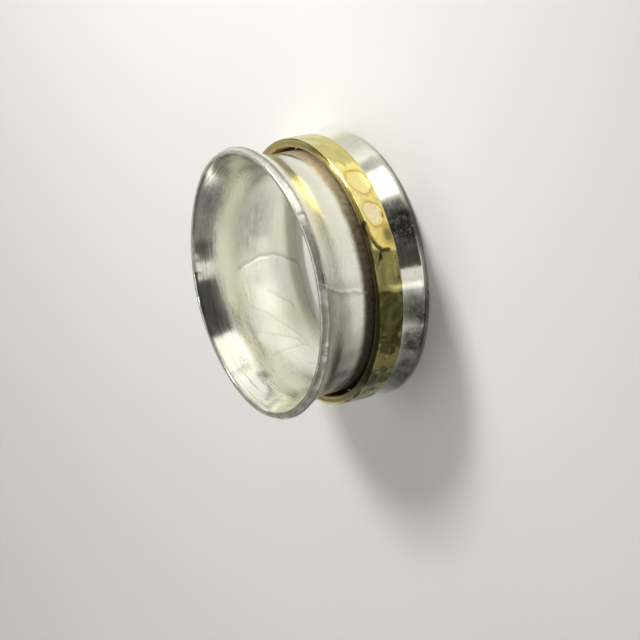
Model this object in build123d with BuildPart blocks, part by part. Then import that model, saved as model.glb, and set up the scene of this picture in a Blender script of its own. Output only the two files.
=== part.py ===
from build123d import *
import math
import os

# Spinner ring, modelled lying on its side: the ring's axis is +Z, the smaller
# flared rim is down at Z = 0 and the origin is the centre of that rim's circle.
# A flared sheet band carries one loose hammered band that turns round it.

# ---- band (one piece of sheet, both ends flared outward) ----
ring_width = 9.93        # along the axis, rim to rim
bore_radius = 9.05       # inner wall of the cylindrical waist (18.1 mm across)
wall = 0.75              # sheet thickness

upper_rim_radius = 11.0  # outer edge of the wider flare
upper_lip_radius = 10.47 # inner edge of the same rim
upper_flare_angle = 28.0 # slope of the flare from the axis
upper_bend = 4.0         # radius of the soft inside crease

lower_rim_radius = 10.75
lower_lip_radius = 10.18
lower_flare_angle = 19.0
lower_bend = 6.75

rim_land = 0.33          # flat width that is left on each rim
rim_edge_drop = 0.52     # the outer rim edge lies this far behind the land
land_round = 0.10        # small rounds at the rim
edge_round = 0.16

# ---- spinner (loose hammered band) ----
spinner_inner_radius = 10.10
spinner_outer_radius = 10.85
spinner_width = 2.20
spinner_edge_round = 0.12
rest_gap = 0.02          # left between the spinner and the flare that it lies on

# ---- hammer marks round the outside of the spinner ----
dent_count = 26
dent_tool_radius = 3.2   # curvature of the hammer's face
dent_rows = (
    # height: from the spinner's mid-plane; depth: of the mark; shift: along the
    # circumference, in parts of one step
    {"height": 0.35, "depth": 0.110, "shift": 0.00},
    {"height": -0.48, "depth": 0.085, "shift": 0.46},
)
dent_wobble = 0.28       # how far a mark strays up or down
depth_wobble = 0.035     # how much its depth varies


def flare(lip_radius, lip_z, angle, start_radius):
    """Height where a flare through the lip meets a cylinder of start_radius."""
    run = (lip_radius - start_radius) / math.tan(math.radians(angle))
    return lip_z - run if lip_z > ring_width / 2 else lip_z + run


outer_radius = bore_radius + wall
upper_in = flare(upper_lip_radius, ring_width, upper_flare_angle, bore_radius)
lower_in = flare(lower_lip_radius, 0.0, lower_flare_angle, bore_radius)
upper_out = upper_in - wall * math.tan(math.radians(upper_flare_angle / 2))
lower_out = lower_in + wall * math.tan(math.radians(lower_flare_angle / 2))


def on_flare(z, corner_z, angle):
    """Outside radius of a flare at height z."""
    return outer_radius + abs(z - corner_z) * math.tan(math.radians(angle))


# ends of the straight waist, inside and outside the same
waist_top = upper_in - upper_bend * math.tan(math.radians(upper_flare_angle / 2))
waist_bottom = lower_in + lower_bend * math.tan(math.radians(lower_flare_angle / 2))

# The spinner's rounded lower edge meets the concave outside of the lower bend.
bend_out = lower_bend - wall
edge_in = outer_radius + bend_out - (spinner_inner_radius + spinner_edge_round)
edge_drop = math.sqrt((bend_out - spinner_edge_round - rest_gap) ** 2 - edge_in**2)
spinner_bottom = waist_bottom - edge_drop - spinner_edge_round
spinner_middle = spinner_bottom + spinner_width / 2

upper_edge_z = ring_width - rim_edge_drop
lower_edge_z = rim_edge_drop
upper_edge = (on_flare(upper_edge_z, upper_out, upper_flare_angle), upper_edge_z)
lower_edge = (on_flare(lower_edge_z, lower_out, lower_flare_angle), lower_edge_z)

with BuildPart() as band:
    with BuildSketch(Plane.XZ) as band_profile:
        with BuildLine():
            # inside, from the upper lip down through the bore to the lower lip
            inside = FilletPolyline(
                (upper_lip_radius, ring_width),
                (bore_radius, upper_in),
                (bore_radius, lower_in),
                (lower_lip_radius, 0.0),
                radius=[upper_bend, lower_bend],
            )
            # lower rim: the flat land and the softened outer edge
            FilletPolyline(
                (lower_lip_radius, 0.0),
                (lower_lip_radius + rim_land, 0.0),
                lower_edge,
                (outer_radius, lower_out),
                (outer_radius, upper_out),
                upper_edge,
                (upper_lip_radius + rim_land, ring_width),
                (upper_lip_radius, ring_width),
                radius=[
                    land_round,
                    edge_round,
                    lower_bend - wall,
                    upper_bend - wall,
                    edge_round,
                    land_round,
                ],
            )
        make_face()
    revolve(axis=Axis.Z)

with BuildPart() as spinner:
    with BuildSketch(Plane.XZ) as spinner_profile:
        with Locations(
            ((spinner_inner_radius + spinner_outer_radius) / 2, spinner_middle)
        ):
            RectangleRounded(
                spinner_outer_radius - spinner_inner_radius,
                spinner_width,
                spinner_edge_round,
            )
    revolve(axis=Axis.Z)
    # each mark is a shallow spherical dish pressed into the outside
    for row in dent_rows:
        for i in range(dent_count):
            turn = 360.0 / dent_count * (
                i + row["shift"] + 0.22 * math.sin(2.7 * i + 5 * row["shift"])
            )
            lift = row["height"] + dent_wobble * math.sin(4.1 * i + 9 * row["height"])
            depth = row["depth"] + depth_wobble * math.sin(1.9 * i + 3 * row["shift"])
            centre = spinner_outer_radius + dent_tool_radius - depth
            with Locations(
                (
                    centre * math.cos(math.radians(turn)),
                    centre * math.sin(math.radians(turn)),
                    spinner_middle + lift,
                )
            ):
                Sphere(dent_tool_radius, mode=Mode.SUBTRACT)

band.part.label = "band"
spinner.part.label = "spinner"

os.makedirs("parts", exist_ok=True)
for piece in (band, spinner):
    export_step(piece.part, f"parts/{piece.part.label}.step")

print("bore diameter", round(2 * bore_radius, 2))
print("straight waist from", round(waist_bottom, 3), "to", round(waist_top, 3))
print("upper rim edge", [round(v, 3) for v in upper_edge])
print("lower rim edge", [round(v, 3) for v in lower_edge])
print("spinner from", round(spinner_bottom, 3), "to", round(spinner_bottom + spinner_width, 3))
for piece, density in ((band, 10.36), (spinner, 8.5)):
    volume = piece.part.volume
    print(piece.part.label, "volume", round(volume, 1), "mm3, grams", round(volume * density / 1000, 3))
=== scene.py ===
import math

import bpy
import numpy as np
from mathutils import Matrix, Vector


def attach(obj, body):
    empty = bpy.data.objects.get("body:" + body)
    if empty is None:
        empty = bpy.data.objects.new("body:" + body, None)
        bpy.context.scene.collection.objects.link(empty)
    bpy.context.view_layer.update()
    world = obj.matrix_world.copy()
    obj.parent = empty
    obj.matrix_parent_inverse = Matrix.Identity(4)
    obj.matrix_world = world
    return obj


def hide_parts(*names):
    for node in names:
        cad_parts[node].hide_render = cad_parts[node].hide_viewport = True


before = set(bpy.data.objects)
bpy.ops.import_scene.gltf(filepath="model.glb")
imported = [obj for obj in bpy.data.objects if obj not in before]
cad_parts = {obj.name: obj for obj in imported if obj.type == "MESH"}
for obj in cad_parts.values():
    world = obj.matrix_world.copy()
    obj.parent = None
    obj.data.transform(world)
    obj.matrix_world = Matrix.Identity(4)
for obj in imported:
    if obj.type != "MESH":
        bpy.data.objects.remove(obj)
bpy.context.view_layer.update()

# A spinner ring lying on its smaller rim, its axis along +Z. Two pieces: the flared silver band and the
# loose hammered brass band. Profiles are in millimetres, as in the CAD source; meshes are in metres.
MM = 0.001

# ---------------------------------------------------------------- profiles, as in the CAD source
RING_WIDTH = 9.93
BORE = 9.05
WALL = 0.75
OUTER = BORE + WALL
UPPER_ANGLE, LOWER_ANGLE = math.radians(28.0), math.radians(19.0)
UPPER_IN = RING_WIDTH - (10.47 - BORE) / math.tan(UPPER_ANGLE)
LOWER_IN = (10.18 - BORE) / math.tan(LOWER_ANGLE)
UPPER_OUT = UPPER_IN - WALL * math.tan(UPPER_ANGLE / 2)
LOWER_OUT = LOWER_IN + WALL * math.tan(LOWER_ANGLE / 2)
EDGE_DROP = 0.52
UPPER_EDGE = (OUTER + (RING_WIDTH - EDGE_DROP - UPPER_OUT) * math.tan(UPPER_ANGLE), RING_WIDTH - EDGE_DROP)
LOWER_EDGE = (OUTER + (LOWER_OUT - EDGE_DROP) * math.tan(LOWER_ANGLE), EDGE_DROP)

SPIN_IN, SPIN_OUT = 10.10, 10.85
SPIN_LOW, SPIN_HIGH = 2.502, 4.702
SPIN_MID = (SPIN_LOW + SPIN_HIGH) / 2


def closed_profile(corners, longest):
    """corners: (r, z, round radius, steps on the round). Gives the points of the closed outline and, for each, the
    number of the corner or side it lies on: a whole number on a round, a half on the side after it."""
    n = len(corners)
    ends = []
    for i, (r, z, rad, steps) in enumerate(corners):
        p = np.array([r, z])
        a = np.array(corners[i - 1][:2]) - p
        b = np.array(corners[(i + 1) % n][:2]) - p
        a, b = a / np.linalg.norm(a), b / np.linalg.norm(b)
        half = math.acos(max(-1, min(1, float(a @ b)))) / 2
        t = rad / math.tan(half)
        mid = a + b
        centre = p + mid / np.linalg.norm(mid) * rad / math.sin(half)
        start, end = p + a * t, p + b * t
        v0, v1 = start - centre, end - centre
        turn = math.atan2(v0[0] * v1[1] - v0[1] * v1[0], float(v0 @ v1))
        arc = []
        for k in range(steps + 1):
            w = turn * k / steps
            arc.append(centre + np.array([v0[0] * math.cos(w) - v0[1] * math.sin(w), v0[0] * math.sin(w) + v0[1] * math.cos(w)]))
        ends.append(arc)
    points, tags = [], []
    for i in range(n):
        points += ends[i]
        tags += [float(i)] * len(ends[i])
        a, b = ends[i][-1], ends[(i + 1) % n][0]
        parts = max(1, int(math.ceil(np.linalg.norm(b - a) / longest)))
        for k in range(1, parts):
            points.append(a + (b - a) * k / parts)
            tags.append(i + 0.5)
    return np.array(points), np.array(tags)


def profile_normals(points):
    """Unit normals of a closed outline, pointing out of the metal."""
    d = np.roll(points, -1, 0) - np.roll(points, 1, 0)
    n = np.stack([d[:, 1], -d[:, 0]], 1)
    n /= np.linalg.norm(n, axis=1)[:, None]
    x, y = points[:, 0], points[:, 1]
    area = 0.5 * np.sum(x * np.roll(y, -1) - np.roll(x, -1) * y)
    return n if area > 0 else -n


def smooth(lo, hi, x):
    t = np.clip((x - lo) / (hi - lo), 0, 1)
    return t * t * (3 - 2 * t)


def waves(rng, theta, s, count, turns, per_mm):
    """Smooth noise over the turned surface, near -1 to 1, with no seam where the turn closes."""
    total = np.zeros(np.broadcast(theta, s).shape)
    for _ in range(count):
        m = rng.integers(-turns, turns + 1)
        q = rng.normal(0, per_mm)
        total += np.cos(m * theta + q * s + rng.uniform(0, 2 * math.pi))
    return total / math.sqrt(count / 2) / 1.6


def turned_mesh(name, r, z, theta, attributes):
    """A closed ring of quads. r and z are (around, along the outline) arrays in millimetres."""
    around, along = r.shape
    co = np.stack([r * np.cos(theta)[:, None], r * np.sin(theta)[:, None], z], 2).reshape(-1, 3) * MM
    j, i = np.meshgrid(np.arange(around), np.arange(along), indexing="ij")
    j2, i2 = (j + 1) % around, (i + 1) % along
    quads = np.stack([j * along + i, j2 * along + i, j2 * along + i2, j * along + i2], 2).reshape(-1, 4)
    a, b, c, d = (co[quads[:, k]] for k in range(4))
    volume = np.einsum("ij,ij->i", a, np.cross(b, c)).sum() + np.einsum("ij,ij->i", a, np.cross(c, d)).sum()
    if volume < 0:
        quads = quads[:, ::-1]
    mesh = bpy.data.meshes.new(name)
    mesh.vertices.add(len(co))
    mesh.vertices.foreach_set("co", co.astype(np.float32).ravel())
    mesh.loops.add(quads.size)
    mesh.loops.foreach_set("vertex_index", quads.astype(np.int32).ravel())
    mesh.polygons.add(len(quads))
    mesh.polygons.foreach_set("loop_start", np.arange(0, quads.size, 4, dtype=np.int32))
    mesh.polygons.foreach_set("use_smooth", np.ones(len(quads), bool))
    mesh.update(calc_edges=True)
    mesh.validate()
    for key, values in attributes.items():
        layer = mesh.attributes.new(key, "FLOAT", "POINT")
        layer.data.foreach_set("value", np.broadcast_to(values, r.shape).astype(np.float32).ravel())
    obj = bpy.data.objects.new(name, mesh)
    bpy.context.scene.collection.objects.link(obj)
    return obj


# ---------------------------------------------------------------- the silver band
# Lines seen on the band: on the inside or not, then angle and height of their points.
SEAMS = [
    (False, [(-97.0, 9.25), (-98.6, 8.5), (-101.4, 7.6), (-102.2, 6.9), (-102.0, 6.3), (-103.5, 5.71)]),
    (True, [(80.5, 6.0), (79.0, 5.2), (77.4, 4.2), (78.0, 2.8), (81.5, 1.5), (86.0, 0.3)]),
]
SCRATCHES = [
    (True, [(102, 6.0), (106.3, 4.9), (113, 3.9), (121.5, 2.75)]), (True, [(115.5, 6.4), (120.5, 4.5), (125, 3.05)]), (True, [(131.5, 5.7), (128.5, 2.7)]),
    (True, [(96, 3.9), (104, 2.2)]), (True, [(143, 3.4), (150, 1.6)]), (False, [(-63, 7.9), (-69, 6.7), (-74, 6.1)]),
    (False, [(-112, 8.6), (-121, 7.0)]), (True, [(170, 5.5), (181, 3.1)]), (True, [(-40, 5.5), (-52, 3.5)]),
]
# Dark patches, partly grey tarnish and partly painted dark reflection: on the inside or not, angle and height of the
# middle, half sizes in degrees and millimetres, amount.
TARNISH_AND_DARK_REFLECTION = [
    (False, -26, 7.4, 34, 1.9, 0.28), (False, -70, 6.4, 16, 0.6, 0.10), (False, -112, 7.0, 9, 2.2, 0.12), (False, -140, 7.4, 14, 2.6, 0.58),
    (False, -167, 7.4, 25, 3.4, 1.00), (False, -150, 7.4, 7.5, 3.2, 0.97), (False, 60, 7.6, 50, 1.8, 0.22), (False, 140, 7.6, 26, 1.8, 0.35),
    (False, -117, 1.1, 11.5, 2.0, 1.00), (False, -131, 1.1, 12, 2.0, 1.00), (False, -150, 1.1, 28, 2.0, 0.92), (False, -101.5, 7.4, 5, 2.2, 0.28), (False, -79, 1.2, 12.5, 2.4, 1.00), (False, -47.5, 1.3, 5, 1.7, 0.45), (False, -27, 1.2, 12, 1.6, 0.40),
    (True, 58, 4.9, 22, 1.9, 0.70), (True, 86, 4.4, 6, 1.6, 0.25), (True, 141.7, 7.80, 3.4, 0.38, 1.00), (True, 128.7, 8.35, 4.2, 0.48, 0.42),
    (True, 40, 8.4, 18, 1.0, 0.40), (True, 103, 8.8, 6, 1.0, 0.35), (True, 112, 3.0, 7, 1.4, 0.15), (True, 160, 4.6, 12, 1.0, 0.18),
    (True, -70, 4.0, 25, 2.0, 0.25), (False, 20, 1.2, 16, 1.2, 0.18), (True, -140, 8.2, 16, 1.0, 0.25),
]
# Flats knocked into the bore, and seen by how they reflect: angle and height of the middle, half length round the bore, half
# width along it, tilt, depth (degrees and millimetres).
FLATS = [(103, 3.4, 2.1, 1.9, -20, 0.030), (116.5, 4.3, 1.25, 2.2, -24, 0.034), (138, 3.9, 1.7, 1.9, 10, 0.028), (88, 4.6, 1.5, 1.6, 15, 0.016),
         (64, 3.2, 2.0, 1.8, 0, 0.016), (160, 4.8, 1.6, 1.5, 12, 0.020), (-150, 4.4, 2.2, 2.0, 20, 0.020), (-95, 3.6, 2.4, 2.0, -12, 0.022), (-35, 4.8, 2.2, 1.8, 25, 0.020), (15, 4.0, 2.0, 1.9, -10, 0.018)]
# Spots where the tarnish and painted dark reflection are lifted again, in the same terms.
LIFTED_SPOTS = [(False, -88, 7.3, 8, 1.2, 0.9), (False, -119, 7.7, 1.6, 1.3, 0.6), (False, -34, 7.7, 4, 0.5, 0.8), (False, -130, 6.6, 3, 0.9, 0.4), (True, 70, 3.4, 4, 1.0, 0.5)]


# Satin patches, where the polish has gone white and dull, in the same terms.
SATIN = [(False, -97, 7.8, 27, 1.0, 1.0), (True, 62, 7.05, 45, 1.15, 1.0), (True, 118, 7.2, 16, 0.7, 0.6), (True, 152, 6.6, 24, 1.5, 0.95), (False, 60, 7.2, 40, 0.9, 0.5), (False, 140, 7.0, 30, 0.8, 0.5),
         (True, -120, 7.2, 40, 0.8, 0.6), (True, -30, 7.0, 26, 0.7, 0.5)]


def line_distance(x, y, points, radius):
    """Signed distance in millimetres from the surface point (x along the turn, y up) to a line of points."""
    best = np.full(np.broadcast(x, y).shape, 9.0)
    for (a0, h0), (a1, h1) in zip(points[:-1], points[1:]):
        x0, x1 = math.radians(a0) * radius, math.radians(a1) * radius
        dx, dy = x1 - x0, h1 - h0
        px = (x - x0 + math.pi * radius) % (2 * math.pi * radius) - math.pi * radius
        py = y - h0
        t = np.clip((px * dx + py * dy) / (dx * dx + dy * dy), 0, 1)
        away = np.hypot(px - t * dx, py - t * dy)
        away = np.where(px * dy - py * dx < 0, -away, away)
        best = np.where(np.abs(away) < np.abs(best), away, best)
    return best


def make_band():
    rng = np.random.default_rng(11)
    corners = [
        (10.47, RING_WIDTH, 0.055, 4),       # 0 inner edge of the upper rim
        (BORE, UPPER_IN, 4.0, 18),           # 1 soft crease inside
        (BORE, LOWER_IN, 6.75, 18),          # 2
        (10.18, 0.0, 0.055, 4),              # 3 inner edge of the lower rim
        (10.51, 0.0, 0.10, 5),               # 4
        (LOWER_EDGE[0], LOWER_EDGE[1], 0.16, 6),   # 5 outer edge of the lower flare
        (OUTER, LOWER_OUT, 6.0, 18),         # 6
        (OUTER, UPPER_OUT, 3.25, 18),        # 7
        (UPPER_EDGE[0], UPPER_EDGE[1], 0.16, 6),   # 8 outer edge of the upper flare
        (10.80, RING_WIDTH, 0.10, 5),        # 9
    ]
    pts, tags = closed_profile(corners, 0.32)
    nrm = profile_normals(pts)
    around = 640
    theta = np.arange(around) * 2 * math.pi / around
    s = np.concatenate([[0], np.cumsum(np.linalg.norm(np.diff(pts, axis=0), axis=1))])
    th = theta[:, None]
    z0, r0 = pts[None, :, 1], pts[None, :, 0]
    # hand-raised sheet: the walls wander by about a hundredth of a millimetre, the rims stay as cut
    walls = smooth(0.25, 1.3, z0) * smooth(0.25, 1.1, RING_WIDTH - z0)
    wander = waves(rng, th, s[None, :], 26, 9, 0.55) * 0.5 + waves(rng, th, s[None, :], 30, 26, 1.3) * 0.22
    depth = walls * 0.011 * (0.9 + wander).clip(0, None)
    # small knocks on the upper rim: angle, radius, width and depth
    knocks = [(-124.2, 10.98, 0.22, 0.055), (-127.0, 10.92, 0.14, 0.030), (-66.0, 10.99, 0.20, 0.030),
              (-151.0, 10.95, 0.26, 0.035), (24.0, 10.97, 0.30, 0.030), (71.0, 10.55, 0.22, 0.030)]
    for _ in range(16):
        knocks.append((rng.uniform(-180, 180), rng.choice([10.52, 10.97]), rng.uniform(0.12, 0.30), rng.uniform(0.012, 0.032)))
    upper = smooth(RING_WIDTH - 0.9, RING_WIDTH - 0.45, z0)
    for angle, radius, width, amount in knocks:
        turn = (th - math.radians(angle) + math.pi) % (2 * math.pi) - math.pi
        far = (turn * radius / width) ** 2 + ((r0 - radius) / 0.22) ** 2
        depth = depth + upper * amount * np.exp(-far)
    in_bore = np.isin(tags, [0.5, 1.0, 1.5, 2.0, 2.5]).astype(float)[None, :]
    for angle, height, half_len, half_wide, tilt, deep in FLATS:
        x = ((th - math.radians(angle) + math.pi) % (2 * math.pi) - math.pi) * BORE
        y = z0 - height
        c, sn = math.cos(math.radians(tilt)), math.sin(math.radians(tilt))
        q = ((x * c + y * sn) / half_len) ** 2 + ((-x * sn + y * c) / half_wide) ** 2
        depth = depth + in_bore * deep * (1 - q).clip(0, None) ** 1.15
    r = r0 - nrm[None, :, 0] * depth
    z = z0 - nrm[None, :, 1] * depth
    # the upper edge was cut by hand: on one side the flare ends up to a quarter of a millimetre short
    turn = np.degrees((th - math.radians(80) + math.pi) % (2 * math.pi) - math.pi)
    short = 0.23 * smooth(-85, -30, turn) * (1 - smooth(25, 115, turn)) + 0.02 * (1 + np.cos(5 * th + 1.0))
    short = short * smooth(RING_WIDTH - 1.9, RING_WIDTH - 0.1, z0)
    r, z = r - short * math.tan(UPPER_ANGLE), z - short
    inside = np.isin(tags, [0.5, 1.0, 1.5, 2.0, 2.5]).astype(float)
    rim = np.isin(tags, [9.0, 9.5, 8.5, 3.5, 4.0, 4.5]).astype(float)
    corner = np.isin(tags, [8.0, 0.0]).astype(float)
    line = {"seam": SEAMS, "scratch": SCRATCHES}
    for key, groups in line.items():
        nearest = np.full(r.shape, 0.8)
        for is_in, points in groups:
            radius = 9.3 if is_in else 10.0
            d = line_distance(th * radius, z0, points, radius)
            d = np.where((inside[None, :] > 0.5) == is_in, d, 0.8)
            nearest = np.where(np.abs(d) < np.abs(nearest), d, nearest)
        line[key] = (nearest, 1 - smooth(0.45, 0.7, np.abs(nearest)))

    def blob(is_in, a, height, half_turn, half_high, amount):
        turn = np.degrees((th - math.radians(a) + math.pi) % (2 * math.pi) - math.pi)
        value = amount * np.exp(-((turn / half_turn) ** 2) ** 1.5 - (((z0 - height) / half_high) ** 2) ** 1.5)
        return np.where((inside[None, :] > 0.5) == is_in, value, 0)

    # tarnish with painted dark reflection, lifted again in a few spots, and satin patches
    tarnish_and_dark_reflection, satin = np.zeros(r.shape), np.zeros(r.shape)
    for patch in TARNISH_AND_DARK_REFLECTION:
        tarnish_and_dark_reflection = np.maximum(tarnish_and_dark_reflection, blob(*patch))
    for patch in LIFTED_SPOTS:
        tarnish_and_dark_reflection = tarnish_and_dark_reflection * (1 - blob(*patch))
    for patch in SATIN:
        satin = np.maximum(satin, blob(*patch))
    return turned_mesh("silver_band", r, z, theta, {"inside": inside[None, :], "rim": rim[None, :], "corner": corner[None, :], "seam": line["seam"][0],
                                                    "seam_on": line["seam"][1], "scratch": line["scratch"][0],
                                                    "scratch_on": line["scratch"][1], "tarnish_and_dark_reflection": tarnish_and_dark_reflection, "satin": satin})


# ---------------------------------------------------------------- the hammered band
# Marks on the side that faces the camera at rest: angle and height of the middle, half length round the band,
# half width across it, tilt, depth (degrees and millimetres; heights from the middle of the band).
SEEN_MARKS = [
    (-7, 0.42, 1.1, 0.62, 10, 0.085, 1.1), (-13, -0.52, 1.0, 0.55, -8, 0.080, 1.1), (-21, 0.40, 1.2, 0.62, 12, 0.090, 1.1), (-26, -0.50, 1.1, 0.56, -12, 0.085, 1.1),
    (-34, 0.36, 1.1, 0.66, 6, 0.085, 1.1), (-39.5, -0.52, 0.95, 0.55, -10, 0.090, 1.1), (-45.5, 0.62, 0.7, 0.42, 8, 0.070, 1.1),
    (-55.5, -0.04, 1.36, 0.88, 12, 0.185, 1.3), (-71.6, -0.02, 1.18, 0.84, 10, 0.128, 1.3), (-63.5, 0.80, 0.75, 0.42, 0, 0.060, 1.0),
    (-63, -0.92, 0.6, 0.34, 0, 0.055, 1.0), (-81.5, -0.62, 0.85, 0.52, -24, 0.110, 1.0), (-90.2, 0.72, 0.62, 0.40, 14, 0.100, 1.2), (-94.6, 0.80, 0.40, 0.30, 30, 0.080, 1.0), (-91.5, -0.55, 0.55, 0.36, 10, 0.085, 1.0),
    (-97.6, -0.12, 1.25, 0.88, 6, 0.190, 1.15), (-79.5, 0.55, 0.55, 0.42, 20, 0.060, 1.0),
    (-113, 0.10, 1.25, 1.2, 4, 0.040, 1.0), (-123.5, 0.55, 0.72, 0.55, 20, 0.070, 1.1), (-127, -0.50, 0.80, 0.55, -14, 0.070, 1.0),
    (-134, 0.28, 0.72, 0.50, 16, 0.075, 1.1), (-138.5, -0.62, 0.70, 0.5, 8, 0.065, 1.0), (-145, 0.5, 0.80, 0.55, -16, 0.070, 1.0),
    (-150, -0.35, 0.8, 0.6, 12, 0.075, 1.0), (-159, 0.3, 0.9, 0.65, -6, 0.075, 1.1), (-165, -0.55, 0.8, 0.5, 10, 0.065, 1.0),
    (14, -0.30, 1.1, 0.7, 8, 0.065, 1.0), (3, -0.75, 0.8, 0.45, 0, 0.050, 1.0),
]
# Creases left between blows: from and to (angle, height), width and depth.
CREASES = [((-75.0, 1.00), (-83.0, 0.84), 0.14, 0.050), ((-82.0, 0.88), (-88.0, 0.10), 0.15, 0.085), ((-87.4, 0.25), (-88.2, -0.40), 0.13, 0.060),
           ((-86.8, 0.34), (-92.8, 0.80), 0.11, 0.045), ((-66.5, 0.7), (-63.0, -0.8), 0.10, 0.035)]


def make_spinner():
    rng = np.random.default_rng(5)
    edge = 0.13
    corners = [(SPIN_IN, SPIN_LOW, 0.10, 4), (SPIN_OUT, SPIN_LOW, edge, 6), (SPIN_OUT, SPIN_HIGH, edge, 6), (SPIN_IN, SPIN_HIGH, 0.10, 4)]
    pts, tags = closed_profile(corners, 0.25)
    # the hammered face needs a finer outline than the rest
    face = tags == 1.5
    first = int(np.argmax(face))
    rows = 34
    lo, hi = SPIN_LOW + edge, SPIN_HIGH - edge
    fine = np.stack([np.full(rows, SPIN_OUT), lo + (hi - lo) * np.arange(1, rows + 1) / (rows + 1)], 1)
    pts = np.concatenate([pts[:first], fine, pts[first + face.sum():]])
    tags = np.concatenate([tags[:first], np.full(rows, 1.5), tags[first + face.sum():]])
    around = 1240
    theta = np.arange(around) * 2 * math.pi / around
    marks = list(SEEN_MARKS)
    angle = 22.0
    while angle < 186:   # the rest of the way round, two staggered rows of overlapping blows
        for row in (0.52, -0.50):
            marks.append((angle + rng.uniform(-2.2, 2.2) + (4.2 if row > 0 else 0), row + rng.uniform(-0.22, 0.22), rng.uniform(0.75, 1.25),
                          rng.uniform(0.45, 0.75), rng.uniform(-20, 20), rng.uniform(0.055, 0.120), rng.uniform(1.0, 1.3)))
        angle += rng.uniform(7.5, 10.5)
    th, h = theta[:, None], pts[None, :, 1] - SPIN_MID
    soft = 0.008
    total = np.zeros((around, len(pts))) + 1.0
    for a, height, half_len, half_wide, tilt, deep, power in marks:
        turn = (th - math.radians(a) + math.pi) % (2 * math.pi) - math.pi
        x, y = turn * SPIN_OUT, h - height
        c, sn = math.cos(math.radians(tilt)), math.sin(math.radians(tilt))
        u, v = (x * c + y * sn) / half_len, (-x * sn + y * c) / half_wide
        q = u * u + v * v
        dish = deep * (1 - q ** power)
        total = total + np.exp(np.clip(dish, -0.2, 1) / soft)
    depth = soft * np.log(total)
    for (a0, h0), (a1, h1), wide, deep in CREASES:
        x0, x1 = math.radians(a0) * SPIN_OUT, math.radians(a1) * SPIN_OUT
        x = ((th + math.pi) % (2 * math.pi) - math.pi) * SPIN_OUT
        dx, dy = x1 - x0, h1 - h0
        t = np.clip(((x - x0) * dx + (h - h0) * dy) / (dx * dx + dy * dy), 0, 1)
        away = np.hypot(x - x0 - t * dx, h - h0 - t * dy)
        depth = depth + deep * np.exp(-((away / wide) ** 2)) * np.sin(math.pi * (0.12 + 0.76 * t))
    depth = depth + 0.006 * (1 + waves(rng, th, h * 1.0, 30, 60, 3.0)).clip(0, None)
    r0, z0 = pts[None, :, 0], pts[None, :, 1]
    outer = smooth(SPIN_IN + 0.30, SPIN_OUT - 0.02, r0)
    r = r0 - outer * depth
    # the cut edges wander a little, inwards only
    wob = 0.5 + 0.5 * np.clip(waves(rng, theta, 0 * theta, 24, 22, 1.0), -1, 1)
    wob2 = 0.5 + 0.5 * np.clip(waves(rng, theta, 0 * theta, 24, 22, 1.0), -1, 1)
    top = smooth(SPIN_HIGH - 0.7, SPIN_HIGH - 0.05, z0)
    low = 1 - smooth(SPIN_LOW + 0.05, SPIN_LOW + 0.7, z0)
    z = z0 - top * 0.045 * wob[:, None] + low * 0.035 * wob2[:, None]
    # a nick and a flat on the inner edge of the upper side
    inner = (1 - smooth(SPIN_IN + 0.05, SPIN_IN + 0.42, r0)) * top
    for a, wide, deep in ((6.0, 2.2, 0.10), (11.5, 1.6, 0.06), (-38, 2.5, 0.03), (96, 2.0, 0.05), (171, 2.4, 0.04)):
        turn = (th - math.radians(a) + math.pi) % (2 * math.pi) - math.pi
        bite = np.exp(-((np.degrees(turn) / wide) ** 2)) * deep * inner
        r = r + bite * 0.8
        z = z - bite * 0.7
    inside = np.isin(tags, [3.0, 3.5, 0.0]).astype(float)
    side = np.isin(tags, [0.5, 2.5]).astype(float)
    # olive patina: a khaki stretch, a bright one, then darker and darker past the groove and the big dish; past the
    # groove the dark olive is partly painted dark reflection, and a light strip beside the lip is a painted highlight
    turn = np.degrees((th + math.pi) % (2 * math.pi) - math.pi) + 0 * h
    skew = turn - 1.6 * h + 1.2 * np.sin(5 * h + 1) + 0.8 * np.sin(11 * h)
    olive_patina_and_shade = 0.40 * smooth(-46, -43, skew) * (1 - smooth(12, 34, turn))
    # from the groove on, darker olive: partly patina, partly painted dark reflection
    below = (1 - smooth(-88.5, -86.5, turn - 1.2 * h))
    olive_patina_and_shade = np.maximum(olive_patina_and_shade, 0.76 * below * smooth(-200, -199, turn))
    for a, height, half_turn, half_high, amount in ((-81.8, -0.74, 5.0, 0.50, 0.72), (-83.5, 1.25, 6.0, 0.22, 0.75), (-90.0, 0.35, 2.2, 0.22, 0.85), (-93.0, 0.75, 2.0, 0.25, 0.75)):
        blob = ((turn - a) / half_turn) ** 2 + ((h - height) / half_high) ** 2
        olive_patina_and_shade = np.maximum(olive_patina_and_shade, amount * np.exp(-blob ** 1.6))
    for points, wide, amount in (([(-75.0, 1.02), (-79.0, 0.98), (-82.5, 0.86), (-85.6, 0.56), (-87.6, 0.16), (-87.9, -0.36)], 0.21, 1.0), ([(-86.8, 0.34), (-90.0, 0.42), (-92.8, 0.80)], 0.15, 0.95)):
        olive_patina_and_shade = np.maximum(olive_patina_and_shade, amount * np.exp(-(line_distance(th * SPIN_OUT, h, points, SPIN_OUT) / wide) ** 4))
    lip = -104.6 + 0.9 * h + 0.4 * np.sin(4 * h)
    olive_patina_and_shade = np.maximum(olive_patina_and_shade, 1.0 * (1 - smooth(-0.8, 0.3, turn - lip)))
    # a lighter strip just short of the lip, low on the band: painted highlight
    olive_patina_and_shade = olive_patina_and_shade * (1 - 0.75 * np.exp(-((turn - lip - 1.5) / 1.0) ** 2) * smooth(0.5, -0.6, h))
    olive_patina_and_shade = olive_patina_and_shade * np.where(turn < -100, 0.25 + 0.75 * smooth(-181, -166, turn), 1)
    patches = np.where(turn < 0, smooth(-122, -127, turn + 2.5 * np.sin(3 * h + 2)), 0)
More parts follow.
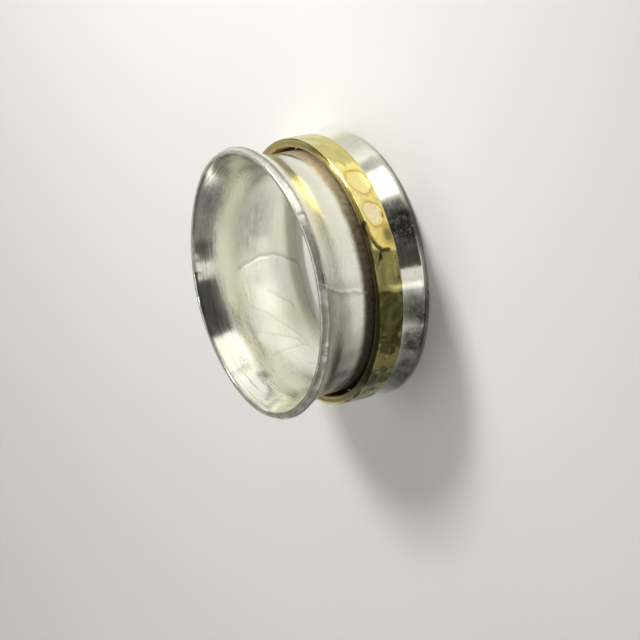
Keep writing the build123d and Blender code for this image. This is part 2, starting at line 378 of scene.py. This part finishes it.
    # rims of the marks, where dirt collects, and the coarse bottoms of two of them; on the two big marks the rim is
    # darker and changes round it as painted shade
    line, halo, pale = (np.zeros(depth.shape) for _ in range(3))
    for k, (a, height, half_len, half_wide, tilt, deep, power) in enumerate(marks):
        away = (th - math.radians(a) + math.pi) % (2 * math.pi) - math.pi
        x, y = away * SPIN_OUT, h - height
        c, sn = math.cos(math.radians(tilt)), math.sin(math.radians(tilt))
        q = np.sqrt(((x * c + y * sn) / half_len) ** 2 + ((-x * sn + y * c) / half_wide) ** 2) + 0.05 * np.sin(3 * np.arctan2(y, x) + k) + 0.03 * np.sin(7 * np.arctan2(y, x) + 2 * k)
        # the two big marks: a heavier dark rim that changes round it, painted shade
        amount = (0.55 + 0.30 * np.sin(2 * np.arctan2(y, x) + 2.0)) if a in (-55.5, -71.6) else 0.22
        line = np.maximum(line, amount * np.exp(-(((q - 0.95) * half_wide / 0.055) ** 2)))
        if -84 < a < -46:
            halo = np.maximum(halo, (1.0 if a in (-55.5, -71.6) else 0.6) * np.exp(-(((q - 0.98) * half_wide / 0.17) ** 2)))
        if a in (-55.5, -71.6):
            pale = np.maximum(pale, (1 - smooth(0.50, 0.92, q)) * (0.30 if a == -55.5 else 1.0))
    for points, wide, amount in (([(-77.0, -0.1), (-78.0, -0.45), (-77.0, -0.9)], 0.05, 0.7), ([(-90, -0.7), (-95, -0.55), (-101, -0.75)], 0.045, 0.6),
                                 ([(-92, 0.1), (-96, 0.35), (-101, 0.30)], 0.045, 0.6), ([(-94, -0.2), (-98, -0.15), (-102, -0.35)], 0.04, 0.5)):
        line = np.maximum(line, amount * np.exp(-(line_distance(th * SPIN_OUT, h, points, SPIN_OUT) / wide) ** 2))
    on_face = outer * (1 - side[None, :])
    attributes = {"inside": inside[None, :], "side": side[None, :], "olive_patina_and_shade": olive_patina_and_shade, "patches": patches, "outline": line * on_face, "halo": halo * on_face, "pale": pale * on_face}
    return turned_mesh("brass_spinner", r, z, theta, attributes)


# ---------------------------------------------------------------- materials
class Nodes:
    """Short names for building a node tree."""

    def __init__(self, name):
        self.material = bpy.data.materials.new(name)
        self.material.use_nodes = True
        self.tree = self.material.node_tree
        self.tree.nodes.clear()
        self.out = self.tree.nodes.new("ShaderNodeOutputMaterial")
        self.shader = self.tree.nodes.new("ShaderNodeBsdfPrincipled")
        self.tree.links.new(self.shader.outputs[0], self.out.inputs[0])

    def new(self, kind, **settings):
        node = self.tree.nodes.new(kind)
        for key, value in settings.items():
            setattr(node, key, value)
        return node

    def put(self, socket, value):
        if isinstance(value, bpy.types.NodeSocket):
            self.tree.links.new(value, socket)
        else:
            socket.default_value = value

    def math(self, op, *values, clamp=False):
        node = self.new("ShaderNodeMath", operation=op, use_clamp=clamp)
        for k, v in enumerate(values):
            self.put(node.inputs[k], v)
        return node.outputs[0]

    def attribute(self, name):
        return self.new("ShaderNodeAttribute", attribute_type="GEOMETRY", attribute_name=name).outputs["Fac"]

    def noise(self, vector, scale=1.0, detail=2.0, rough=0.5, w=None, lacunarity=2.0):
        node = self.new("ShaderNodeTexNoise", noise_dimensions="4D" if w is not None else "3D")
        self.put(node.inputs["Vector"], vector)
        if w is not None:
            self.put(node.inputs["W"], w)
        node.inputs["Scale"].default_value = scale
        node.inputs["Detail"].default_value = detail
        node.inputs["Roughness"].default_value = rough
        node.inputs["Lacunarity"].default_value = lacunarity
        return node.outputs["Fac"]

    def ramp(self, value, lo, hi, out_lo=0.0, out_hi=1.0):
        node = self.new("ShaderNodeMapRange", interpolation_type="SMOOTHSTEP", clamp=True)
        for key, v in (("Value", value), ("From Min", lo), ("From Max", hi), ("To Min", out_lo), ("To Max", out_hi)):
            self.put(node.inputs[key], v)
        return node.outputs["Result"]

    def mix(self, factor, a, b):
        node = self.new("ShaderNodeMix", data_type="RGBA")
        self.put(node.inputs["Factor"], factor)
        self.put(node.inputs[6], a)
        self.put(node.inputs[7], b)
        return node.outputs[2]

    def combine(self, x, y, z):
        node = self.new("ShaderNodeCombineXYZ")
        for k, v in enumerate((x, y, z)):
            self.put(node.inputs[k], v)
        return node.outputs[0]

    def bump(self, height, distance, strength, normal=None):
        node = self.new("ShaderNodeBump")
        node.inputs["Distance"].default_value = distance
        self.put(node.inputs["Strength"], strength)
        self.put(node.inputs["Height"], height)
        if normal is not None:
            self.put(node.inputs["Normal"], normal)
        return node.outputs[0]

    def ring_coordinates(self):
        """Object coordinates and, from them, the radius, the height and the unit direction from the axis."""
        where = self.new("ShaderNodeTexCoord").outputs["Object"]
        split = self.new("ShaderNodeSeparateXYZ")
        self.put(split.inputs[0], where)
        x, y, z = split.outputs
        radius = self.math("SQRT", self.math("ADD", self.math("MULTIPLY", x, x), self.math("MULTIPLY", y, y)))
        return where, x, y, z, radius, self.math("DIVIDE", x, radius), self.math("DIVIDE", y, radius)

    def brushed(self, ring, along, across):
        """Noise drawn out round the ring: along is how often it changes in a radian, across how often in a metre."""
        where, x, y, z, radius, cx, cy = ring
        vector = self.combine(self.math("MULTIPLY", cx, along), self.math("MULTIPLY", cy, along), self.math("MULTIPLY", z, across))
        return self.noise(vector, detail=3.0, rough=0.6, w=self.math("MULTIPLY", radius, across))


def rgba(*c):
    return (*c, 1.0)


def silver_material():
    n = Nodes("worn_silver_with_painted_shade")
    ring = n.ring_coordinates()
    where, x, y, z, radius, cx, cy = ring
    inside, rim, tarnish_and_dark_reflection = n.attribute("inside"), n.attribute("rim"), n.attribute("tarnish_and_dark_reflection")
    outside = n.math("SUBTRACT", 1.0, inside)
    cloud = n.noise(where, 260.0, 4.0, 0.6)             # patches of some 4 mm
    blots = n.noise(where, 900.0, 4.0, 0.62)            # patches of some 1 mm
    fine = n.noise(where, 2600.0, 3.0, 0.65)            # specks
    lines = n.brushed(ring, 3.0, 4600.0)                # lines about 0.2 mm apart
    hair = n.brushed(ring, 7.0, 12000.0)
    satin = n.math("MULTIPLY", n.attribute("satin"), n.math("MULTIPLY", n.ramp(hair, 0.34, 0.60, 0.74, 1.0), n.ramp(blots, 0.30, 0.55, 0.80, 1.0)))
    flare_in = n.math("MULTIPLY", inside, n.ramp(z, 0.0074, 0.0080))
    crease = n.math("MULTIPLY", inside, n.math("MULTIPLY", n.ramp(z, 0.0060, 0.0066), n.math("SUBTRACT", 1.0, n.ramp(z, 0.0076, 0.0083))))
    bore = n.math("MULTIPLY", inside, n.math("SUBTRACT", 1.0, n.ramp(z, 0.0060, 0.0070)))
    low_flare = n.math("MULTIPLY", outside, n.math("SUBTRACT", 1.0, n.ramp(z, 0.0022, 0.0030)))
    wall = n.math("MULTIPLY", outside, n.ramp(z, 0.0056, 0.0060))
    edge = n.math("ADD", z, n.math("MULTIPLY", n.math("SUBTRACT", blots, 0.5), 0.0004))
    # the strip under the spinner, where painted shade and a painted reflection of the brass go
    shade_under_spinner = n.math("MULTIPLY", outside, n.math("MULTIPLY", n.ramp(edge, 0.0022, 0.0026), n.math("SUBTRACT", 1.0, n.ramp(edge, 0.00520, 0.00580))))

    def stroke(name, wide, wander):
        shift = n.math("MULTIPLY", n.math("SUBTRACT", blots, 0.5), wander)
        off = n.math("ABSOLUTE", n.math("ADD", n.attribute(name), shift))
        return n.math("MULTIPLY", n.attribute(name + "_on"), n.math("SUBTRACT", 1.0, n.ramp(off, 0.0, wide)))

    seam = n.math("MULTIPLY", stroke("seam", 0.22, 0.34), n.ramp(fine, 0.25, 0.50, 0.45, 1.0))
    drop = n.math("ADD", n.attribute("seam"), n.math("MULTIPLY", n.math("SUBTRACT", blots, 0.5), 0.34))
    shade = n.math("MULTIPLY", n.ramp(drop, 0.02, 0.16), n.math("SUBTRACT", 1.0, n.ramp(drop, 0.20, 0.55)))
    scratch = n.math("MULTIPLY", stroke("scratch", 0.085, 0.12), n.ramp(fine, 0.30, 0.55, 0.30, 1.0))
    # painted shade along one side of the scratches in the bore
    drop = n.math("ADD", n.attribute("scratch"), n.math("MULTIPLY", n.math("SUBTRACT", blots, 0.5), 0.20))
    scratch_shade = n.math("MULTIPLY", n.ramp(drop, 0.03, 0.11), n.math("SUBTRACT", 1.0, n.ramp(drop, 0.12, 0.50)))
    scratch_shade = n.math("MULTIPLY", n.math("MULTIPLY", scratch_shade, n.attribute("scratch_on")), bore)

    colour = n.mix(n.ramp(cloud, 0.35, 0.68), rgba(0.940, 0.938, 0.850), rgba(0.900, 0.888, 0.745))
    # dark patches: grey tarnish and partly painted dark reflection, on the lower flare heavier towards -x
    tarnish_and_reflection_dark = n.math("MULTIPLY", tarnish_and_dark_reflection, n.ramp(blots, 0.30, 0.65, 1.06, 0.93), clamp=True)
    tarnish_and_reflection_dark = n.math("MULTIPLY", tarnish_and_reflection_dark, n.mix(low_flare, n.ramp(hair, 0.35, 0.70, 1.0, 0.68), n.ramp(fine, 0.53, 0.68, 1.0, n.ramp(cx, -0.25, -0.05, 0.93, 0.72))))
    colour = n.mix(n.math("MULTIPLY", satin, 0.8), colour, n.mix(inside, rgba(0.945, 0.940, 0.850), rgba(0.945, 0.932, 0.765)))
    tarnish_and_reflection_dark = n.math("MULTIPLY", tarnish_and_reflection_dark, n.mix(flare_in, rgba(1.0, 1.0, 1.0), n.ramp(n.math("ADD", fine, blots), 0.80, 1.00, 0.35, 1.0)))
    colour = n.mix(tarnish_and_reflection_dark, colour, n.mix(n.ramp(tarnish_and_reflection_dark, 0.70, 1.0), rgba(0.115, 0.111, 0.100), rgba(0.042, 0.039, 0.034)))
    streaks = n.math("MULTIPLY", n.ramp(lines, 0.50, 0.72), n.math("ADD", n.math("MULTIPLY", flare_in, 0.55), n.math("MULTIPLY", bore, 0.22)))
    colour = n.mix(streaks, colour, rgba(0.38, 0.36, 0.31))
    specks = n.math("MULTIPLY", n.ramp(fine, 0.58, 0.74), n.math("ADD", 0.20, n.math("MULTIPLY", low_flare, 0.12)))
    colour = n.mix(specks, colour, rgba(0.40, 0.37, 0.31))
    # painted shade under the spinner, near black towards -x, and a tan painted reflection of the brass towards +x
    colour = n.mix(n.math("MULTIPLY", shade_under_spinner, n.ramp(fine, 0.35, 0.65, 0.98, n.ramp(cx, -0.20, 0.50, 0.94, 0.74))), colour, n.mix(n.ramp(cx, 0.12, 0.85), n.mix(n.ramp(cx, -0.35, -0.05), rgba(0.050, 0.036, 0.022), rgba(0.130, 0.092, 0.050)), rgba(0.430, 0.330, 0.195)))
    # rims greyed: wear all round, and more of it towards -x as painted shade
    rim_wear_and_shade = n.math("MULTIPLY", rim, n.math("ADD", 0.38, n.math("MULTIPLY", n.ramp(cx, 0.35, -0.45), 0.48)))
    colour = n.mix(rim_wear_and_shade, colour, n.mix(n.ramp(blots, 0.40, 0.62), rgba(0.52, 0.49, 0.41), rgba(0.24, 0.22, 0.19)))
    # a dark line on the rounded rim edges: painted dark reflection
    edge_dark_reflection = n.math("MULTIPLY", n.attribute("corner"), n.ramp(blots, 0.32, 0.60, 0.38, 0.72))
    colour = n.mix(edge_dark_reflection, colour, rgba(0.115, 0.100, 0.078))
    colour = n.mix(n.math("MULTIPLY", n.math("MULTIPLY", shade, n.attribute("seam_on")), 0.32), colour, rgba(0.22, 0.21, 0.19))
    colour = n.mix(n.math("MULTIPLY", scratch_shade, 0.24), colour, rgba(0.36, 0.35, 0.29))
    colour = n.mix(n.math("MAXIMUM", n.math("MULTIPLY", seam, 0.97), n.math("MULTIPLY", scratch, 0.6)), colour, rgba(0.97, 0.96, 0.90))
    n.put(n.shader.inputs["Base Color"], colour)
    n.put(n.shader.inputs["Metallic"], n.math("SUBTRACT", 1.0, n.math("ADD", n.math("MULTIPLY", shade_under_spinner, 0.80), n.math("ADD", n.math("MULTIPLY", rim, 0.15), n.math("MULTIPLY", satin, 0.40)))))
    n.put(n.shader.inputs["Specular IOR Level"], n.math("SUBTRACT", 0.5, n.math("MULTIPLY", shade_under_spinner, 0.38)))
    rough = n.math("ADD", 0.08, n.math("MULTIPLY", n.ramp(cloud, 0.30, 0.75), 0.07))
    rough = n.math("ADD", rough, n.math("MULTIPLY", n.ramp(hair, 0.35, 0.7), 0.05))
    rough = n.math("ADD", rough, n.math("MULTIPLY", bore, 0.07))
    rough = n.math("ADD", rough, n.math("MULTIPLY", wall, 0.03))
    rough = n.math("ADD", rough, n.math("MULTIPLY", crease, 0.05))
    rough = n.math("ADD", rough, n.math("MULTIPLY", shade_under_spinner, 0.20))
    rough = n.math("ADD", rough, n.math("MULTIPLY", satin, n.ramp(hair, 0.35, 0.65, 0.20, 0.34)))
    rough = n.math("ADD", rough, n.math("MULTIPLY", tarnish_and_dark_reflection, 0.08))
    rough = n.math("SUBTRACT", rough, n.math("MULTIPLY", low_flare, 0.05))
    rough = n.math("ADD", rough, n.math("MULTIPLY", rim, n.ramp(blots, 0.35, 0.65, 0.05, 0.18)))
    n.put(n.shader.inputs["Roughness"], rough)
    amount = n.math("ADD", n.math("MULTIPLY", flare_in, 0.8), n.math("ADD", n.math("MULTIPLY", bore, 0.35), n.math("MULTIPLY", crease, 0.8)))
    normal = n.bump(lines, 8.0e-6, n.math("ADD", 0.15, amount, clamp=True))
    normal = n.bump(fine, 6.0e-6, 0.25, normal)
    normal = n.bump(blots, 1.6e-5, 0.15, normal)
    normal = n.bump(n.math("ADD", seam, n.math("MULTIPLY", scratch, 0.5)), 3.0e-5, 0.6, normal)
    n.put(n.shader.inputs["Normal"], normal)
    return n.material


def brass_material():
    n = Nodes("hammered_brass")
    ring = n.ring_coordinates()
    where, x, y, z, radius, cx, cy = ring
    side, inside, olive_patina_and_shade, patches = n.attribute("side"), n.attribute("inside"), n.attribute("olive_patina_and_shade"), n.attribute("patches")
    outline, halo, pale = n.attribute("outline"), n.attribute("halo"), n.attribute("pale")
    cloud = n.noise(where, 320.0, 4.0, 0.6)
    spots = n.noise(where, 620.0, 5.0, 0.62)
    blots = n.noise(where, 1500.0, 4.0, 0.65)
    fine = n.noise(where, 3200.0, 3.0, 0.65)
    hair = n.brushed(ring, 9.0, 11000.0)
    colour = n.mix(n.ramp(cloud, 0.32, 0.70), rgba(0.995, 0.900, 0.370), rgba(0.965, 0.840, 0.270))
    # dark olive, partly patina and partly painted dark reflection, broken by lighter mottling
    khaki_and_shade = n.math("MULTIPLY", olive_patina_and_shade, n.math("MULTIPLY", n.ramp(spots, 0.30, 0.70, 1.15, 0.94), n.math("SUBTRACT", 1.0, n.math("MULTIPLY", patches, n.ramp(spots, 0.47, 0.55, 0.0, 0.26)))), clamp=True)
    colour = n.mix(khaki_and_shade, colour, n.mix(n.ramp(blots, 0.38, 0.66), rgba(0.066, 0.059, 0.021), rgba(0.125, 0.114, 0.045)))
    stain = n.math("MULTIPLY", halo, n.ramp(blots, 0.34, 0.60, 0.15, 0.75))
    colour = n.mix(stain, colour, rgba(0.840, 0.560, 0.160))
    colour = n.mix(n.math("MULTIPLY", pale, n.ramp(fine, 0.38, 0.62, 0.35, 1.0)), colour, rgba(0.985, 0.860, 0.680))
    colour = n.mix(n.math("MULTIPLY", n.ramp(fine, 0.60, 0.82), 0.35), colour, rgba(0.50, 0.38, 0.13))
    colour = n.mix(n.math("MULTIPLY", outline, n.ramp(spots, 0.30, 0.65, 0.80, 0.50)), colour, rgba(0.420, 0.240, 0.060))
    # the side faces stained tan-brown, heavier towards -x as painted shade
    tan = n.math("MULTIPLY", side, n.math("ADD", 0.30, n.math("MULTIPLY", n.ramp(n.math("MULTIPLY", cx, -1.0), -0.35, 0.30), 0.65)))
    colour = n.mix(tan, colour, rgba(0.250, 0.185, 0.105))
    colour = n.mix(n.math("MULTIPLY", inside, 0.75), colour, rgba(0.36, 0.26, 0.15))
    n.put(n.shader.inputs["Base Color"], colour)
    n.put(n.shader.inputs["Metallic"], n.math("SUBTRACT", 1.0, n.math("MULTIPLY", inside, 0.45)))
    rough = n.math("ADD", 0.11, n.math("MULTIPLY", n.ramp(cloud, 0.30, 0.75), 0.07))
    rough = n.math("ADD", rough, n.math("MULTIPLY", pale, 0.14))
    rough = n.math("ADD", rough, n.math("MULTIPLY", side, 0.12))
    rough = n.math("ADD", rough, n.math("MULTIPLY", inside, 0.25))
    rough = n.math("ADD", rough, n.math("MULTIPLY", khaki_and_shade, 0.10))
    n.put(n.shader.inputs["Roughness"], rough)
    normal = n.bump(fine, 6.0e-6, 0.35)
    normal = n.bump(spots, 2.4e-5, 0.35, normal)
    normal = n.bump(blots, 2.0e-5, n.math("MULTIPLY", khaki_and_shade, 0.6), normal)
    normal = n.bump(fine, 9.0e-5, n.math("MULTIPLY", pale, 0.8), normal)
    normal = n.bump(hair, 3.0e-6, 0.25, normal)
    n.put(n.shader.inputs["Normal"], normal)
    return n.material


def floor_material():
    n = Nodes("pale_floor")
    where = n.new("ShaderNodeTexCoord").outputs["Object"]
    cloud = n.noise(where, 9.0, 3.0, 0.5)
    grain = n.noise(where, 900.0, 2.0, 0.5)
    n.put(n.shader.inputs["Base Color"], n.mix(n.ramp(cloud, 0.3, 0.7), rgba(0.74, 0.74, 0.735), rgba(0.78, 0.78, 0.775)))
    n.shader.inputs["Roughness"].default_value = 0.75
    n.shader.inputs["Specular IOR Level"].default_value = 0.25
    n.put(n.shader.inputs["Normal"], n.bump(grain, 4.0e-5, 0.2))
    return n.material


band = make_band()
band.data.materials.append(silver_material())
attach(band, "band")
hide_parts("band")

spinner = make_spinner()
spinner.data.materials.append(brass_material())
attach(spinner, "spinner")
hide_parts("spinner")

# ---------------------------------------------------------------- stage
bpy.ops.mesh.primitive_plane_add(size=8.0, location=(0, 0, 0))
floor = bpy.context.object
floor.name = "floor"
floor.data.materials.append(floor_material())

world = bpy.data.worlds.new("studio")
world.use_nodes = True
bpy.context.scene.world = world

# Softboxes round the ring, as bright windows in a dim room: middle azimuth (from +X towards +Y), half width, lowest and
# highest elevation, softness of the edge, all in degrees, then brightness.
SOFTBOXES = [
    (135, 95, -90, 4.5, 1.0, 1.25),      # pale surroundings at the height of the floor
    (0, 45, -90, 18, 3.0, 0.85),
    (332, 14, 0, 31, 1.5, 1.10),
    (10, 22, 16, 40, 4.0, 0.70),
    (272, 44, -90, 3.8, 0.7, 1.30),
    (188, 32, 6, 32, 3.0, 0.15),
    (219, 25, 6, 15, 2.0, 0.85),
    (290, 22, 13, 18, 1.5, 0.90),
    (247.5, 8.5, -5, 31, 1.2, 0.66),   # a tall narrow strip beside the camera
    (228, 20, 30, 60, 2.0, 0.50),
    (95, 24, 18, 42, 3.0, 0.50),       # behind the ring, for the surfaces that face up
    (262, 16, 46, 80, 2.0, 2.00),      # high, over the camera's shoulder
    (215, 40, 60, 88, 3.0, 0.80),
    (90, 36, 48, 76, 3.0, 2.30),       # high behind the ring, for the inside of its near wall
    (163, 22, 3, 8, 1.0, 0.60),
    (314.5, 4.0, 15, 31, 1.2, 1.10),
]


def build_world():
    tree = world.node_tree
    tree.nodes.clear()

    def put(socket, value):
        if isinstance(value, bpy.types.NodeSocket):
            tree.links.new(value, socket)
        else:
            socket.default_value = value

    def op(kind, *values):
        node = tree.nodes.new("ShaderNodeMath")
        node.operation = kind
        for k, v in enumerate(values):
            put(node.inputs[k], v)
        return node.outputs[0]

    def step(value, lo, hi):
        node = tree.nodes.new("ShaderNodeMapRange")
        node.interpolation_type = "SMOOTHSTEP"
        for key, v in (("Value", value), ("From Min", lo), ("From Max", hi), ("To Min", 0.0), ("To Max", 1.0)):
            put(node.inputs[key], v)
        return node.outputs["Result"]

    out = tree.nodes.new("ShaderNodeOutputWorld")
    light = tree.nodes.new("ShaderNodeBackground")
    tree.links.new(light.outputs[0], out.inputs[0])
    split = tree.nodes.new("ShaderNodeSeparateXYZ")
    tree.links.new(tree.nodes.new("ShaderNodeTexCoord").outputs["Generated"], split.inputs[0])
    rise = op("ARCSINE", split.outputs[2])
    turn = op("ARCTAN2", split.outputs[1], split.outputs[0])
    total = 0.06
    rad = math.radians
    for azimuth, half, low, high, soft, bright in SOFTBOXES:
        off = op("ABSOLUTE", op("WRAP", op("SUBTRACT", turn, rad(azimuth)), math.pi, -math.pi))
        across = op("SUBTRACT", 1.0, step(off, rad(half - soft), rad(half + soft)))
        above = step(rise, rad(low - soft), rad(low + soft))
        below = op("SUBTRACT", 1.0, step(rise, rad(high - soft), rad(high + soft)))
        total = op("ADD", total, op("MULTIPLY", op("MULTIPLY", across, bright), op("MULTIPLY", above, below)))
    light.inputs[0].default_value = (1.0, 0.985, 0.955, 1.0)
    tree.links.new(total, light.inputs["Strength"])
    world.cycles.sampling_method = "MANUAL"
    world.cycles.sample_map_resolution = 1024


build_world()


def softbox(name, place, aim, size, watts, cone=None, colour=(1.0, 0.985, 0.955)):
    """A small square light, or with a cone angle a soft spot, close to the ring. Places are in millimetres."""
    place, aim = Vector(place) * MM, Vector(aim) * MM
    data = bpy.data.lights.new(name, "SPOT" if cone else "AREA")
    if cone:
        data.spot_size, data.spot_blend, data.shadow_soft_size = math.radians(cone), 1.0, size * MM
    else:
        data.shape, data.size = "SQUARE", size * MM
    data.energy, data.color = watts, colour
    lamp = bpy.data.objects.new(name, data)
    lamp.location = place
    lamp.rotation_mode = "QUATERNION"
    lamp.rotation_quaternion = (aim - place).to_track_quat("-Z", "Y")
    lamp.visible_camera = False
    bpy.context.scene.collection.objects.link(lamp)
    return lamp


softbox("key", (76, 11, 84), (0, 0, 5), 32, 0.095)
softbox("into_bore", (4, 2, 120), (3.0, 4.6, 0), 6, 0.66, cone=6.8)

# ---------------------------------------------------------------- camera, at the photo's angle to the ring
camera_data = bpy.data.cameras.new("camera")
camera = bpy.data.objects.new("camera", camera_data)
bpy.context.scene.collection.objects.link(camera)
right, up, back = (-0.21412, -0.46141, -0.86096), (0.97674, -0.09056, -0.19438), (0.01172, -0.88255, 0.47007)
place = (0.0, -0.294199, 0.161395)
camera.matrix_world = Matrix([[right[k], up[k], back[k], place[k]] for k in range(3)] + [[0, 0, 0, 1]])
camera_data.sensor_width = 36.0
camera_data.lens = 234.99
camera_data.clip_start, camera_data.clip_end = 0.01, 20.0
bpy.context.scene.camera = camera

scene = bpy.context.scene
scene.view_settings.view_transform = "Standard"
scene.view_settings.look = "None"
scene.view_settings.exposure = 0.0
